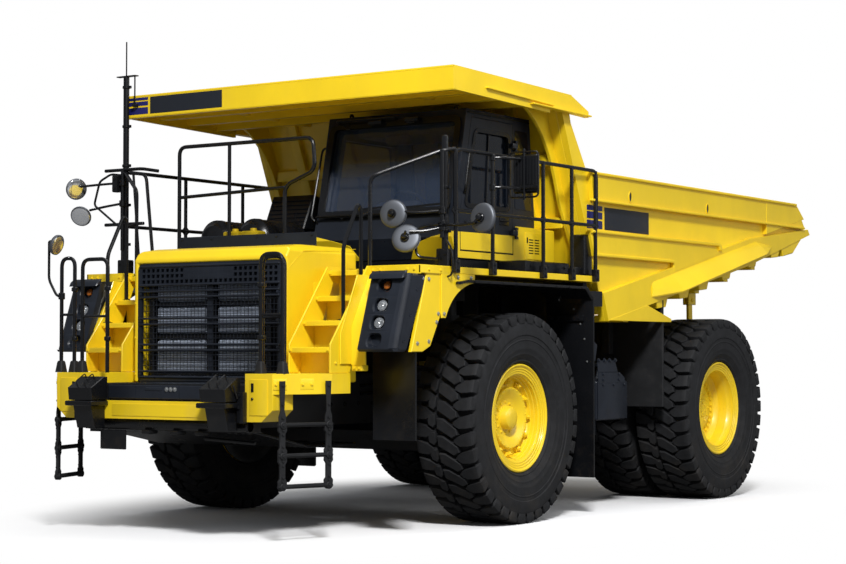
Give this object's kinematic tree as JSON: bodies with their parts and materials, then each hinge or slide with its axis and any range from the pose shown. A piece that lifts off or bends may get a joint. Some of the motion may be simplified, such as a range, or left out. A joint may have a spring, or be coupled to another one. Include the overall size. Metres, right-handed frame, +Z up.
{
  "type": "mining dump truck",
  "caption": "Rigid-frame mining dump truck with an offset cab, a tipping rock body with a canopy over the cab, steered front wheels and twin rear wheels.",
  "frame": {"origin": "on the ground, at the middle of the truck's overall length and width", "axes": "+Z up, -Y towards the nose, +X towards the truck's left side, where the cab is"},
  "size_m": [5.1, 10.6504, 5.035],
  "materials": {
    "yellow_paint": "gloss",
    "charcoal_paint": "satin",
    "black_paint": "satin",
    "tyre_rubber": "matte",
    "moulded_rubber": "matte",
    "tinted_glass": "gloss",
    "fin_metal": "satin",
    "cast_iron": "rough",
    "plated_rod": "polished",
    "seat_fabric": "woven"
  },
  "bodies": {
    "chassis": {"chassis_frame": "cast_iron", "front_bumper": "yellow_paint", "bumper_walkway": "black_paint", "wheel_chock_left": "black_paint", "wheel_chock_right": "black_paint", "hood": "yellow_paint", "radiator_grille": "charcoal_paint", "radiator": "fin_metal", "engine_and_driveline": "cast_iron", "stair_left": "yellow_paint", "stair_right": "yellow_paint", "boarding_ladder_left": "moulded_rubber", "boarding_ladder_right": "moulded_rubber", "deck": "yellow_paint", "fender_left": "yellow_paint", "fender_right": "yellow_paint", "headlamp_left": "charcoal_paint", "headlamp_right": "charcoal_paint", "wheel_arch_left": "moulded_rubber", "wheel_arch_right": "moulded_rubber", "cab_shell": "charcoal_paint", "windscreen": "tinted_glass", "cab_base": "black_paint", "cab_rear_box": "yellow_paint", "operator_seat": "seat_fabric", "dashboard": "seat_fabric", "railing_left": "black_paint", "railing_right": "black_paint", "mirrors_left": "black_paint", "mirrors_right": "black_paint", "air_cleaners": "black_paint", "hydraulic_tank": "charcoal_paint", "fuel_tank": "charcoal_paint", "front_suspension": "cast_iron", "rear_axle": "cast_iron"},
    "cab_door": {"cab_door": "charcoal_paint", "door_window": "tinted_glass"},
    "dump_body": {"body_floor": "yellow_paint", "body_front_wall": "yellow_paint", "body_side_left": "yellow_paint", "body_side_right": "yellow_paint", "body_canopy": "yellow_paint", "mudguard_left": "moulded_rubber", "mudguard_right": "moulded_rubber"},
    "knuckle_left": {"steering_knuckle_left": "cast_iron"},
    "front_wheel_left": {"front_tyre_left": "tyre_rubber", "front_rim_left": "yellow_paint"},
    "rear_wheels_left": {"rear_tyre_outer_left": "tyre_rubber", "rear_tyre_inner_left": "tyre_rubber", "rear_rim_left": "yellow_paint"},
    "hoist_barrel_left": {"hoist_barrel_left": "cast_iron"},
    "hoist_rod_left": {"hoist_rod_left": "plated_rod"},
    "knuckle_right": {"steering_knuckle_right": "cast_iron"},
    "front_wheel_right": {"front_tyre_right": "tyre_rubber", "front_rim_right": "yellow_paint"},
    "rear_wheels_right": {"rear_tyre_outer_right": "tyre_rubber", "rear_tyre_inner_right": "tyre_rubber", "rear_rim_right": "yellow_paint"},
    "hoist_barrel_right": {"hoist_barrel_right": "cast_iron"},
    "hoist_rod_right": {"hoist_rod_right": "plated_rod"}
  },
  "joints": [
    {"name": "cab_door_hinge", "type": "hinge", "parent": "chassis", "child": "cab_door", "pos_m": [1.722, -1.53985, 3.3], "axis": [0, 0, 1], "range_deg": [0, 21]},
    {"name": "body_tip", "type": "hinge", "parent": "chassis", "child": "dump_body", "pos_m": [0, 3.26515, 1.9], "axis": [-1, 0, 0], "range_deg": [0, 48]},
    {"name": "steering_left", "type": "hinge", "parent": "chassis", "child": "knuckle_left", "pos_m": [1.4, -1.93485, 1.058], "axis": [0, 0, 1], "range_deg": [-39, 39]},
    {"name": "front_wheel_spin_left", "type": "hinge", "parent": "knuckle_left", "child": "front_wheel_left", "pos_m": [1.7575, -1.93485, 1.058], "axis": [1, 0, 0], "continuous": true},
    {"name": "rear_wheel_spin_left", "type": "hinge", "parent": "chassis", "child": "rear_wheels_left", "pos_m": [1.54, 2.36515, 1.058], "axis": [1, 0, 0], "continuous": true},
    {"name": "hoist_swing_left", "type": "hinge", "parent": "chassis", "child": "hoist_barrel_left", "pos_m": [0.69, 0.81515, 0.95], "axis": [1, 0, 0], "range_deg": [-8, 8]},
    {"name": "hoist_extend_left", "type": "slide", "parent": "hoist_barrel_left", "child": "hoist_rod_left", "axis": [0, 0.5547, 0.8321], "range_m": [0, 1.4]},
    {"name": "steering_right", "type": "hinge", "parent": "chassis", "child": "knuckle_right", "pos_m": [-1.4, -1.93485, 1.058], "axis": [0, 0, 1], "range_deg": [-39, 39]},
    {"name": "front_wheel_spin_right", "type": "hinge", "parent": "knuckle_right", "child": "front_wheel_right", "pos_m": [-1.7575, -1.93485, 1.058], "axis": [1, 0, 0], "continuous": true},
    {"name": "rear_wheel_spin_right", "type": "hinge", "parent": "chassis", "child": "rear_wheels_right", "pos_m": [-1.54, 2.36515, 1.058], "axis": [1, 0, 0], "continuous": true},
    {"name": "hoist_swing_right", "type": "hinge", "parent": "chassis", "child": "hoist_barrel_right", "pos_m": [-0.69, 0.81515, 0.95], "axis": [1, 0, 0], "range_deg": [-8, 8]},
    {"name": "hoist_extend_right", "type": "slide", "parent": "hoist_barrel_right", "child": "hoist_rod_right", "axis": [0, 0.5547, 0.8321], "range_m": [0, 1.4]}
  ],
  "couplings": [
    {"joint": "steering_right", "follows": "steering_left", "ratio": 1},
    {"joint": "hoist_swing_left", "follows": "body_tip", "ratio": -0.044338},
    {"joint": "hoist_extend_left", "follows": "body_tip", "m_per_rad": 1.5514},
    {"joint": "hoist_swing_right", "follows": "body_tip", "ratio": -0.044338},
    {"joint": "hoist_extend_right", "follows": "body_tip", "m_per_rad": 1.5514}
  ]
}
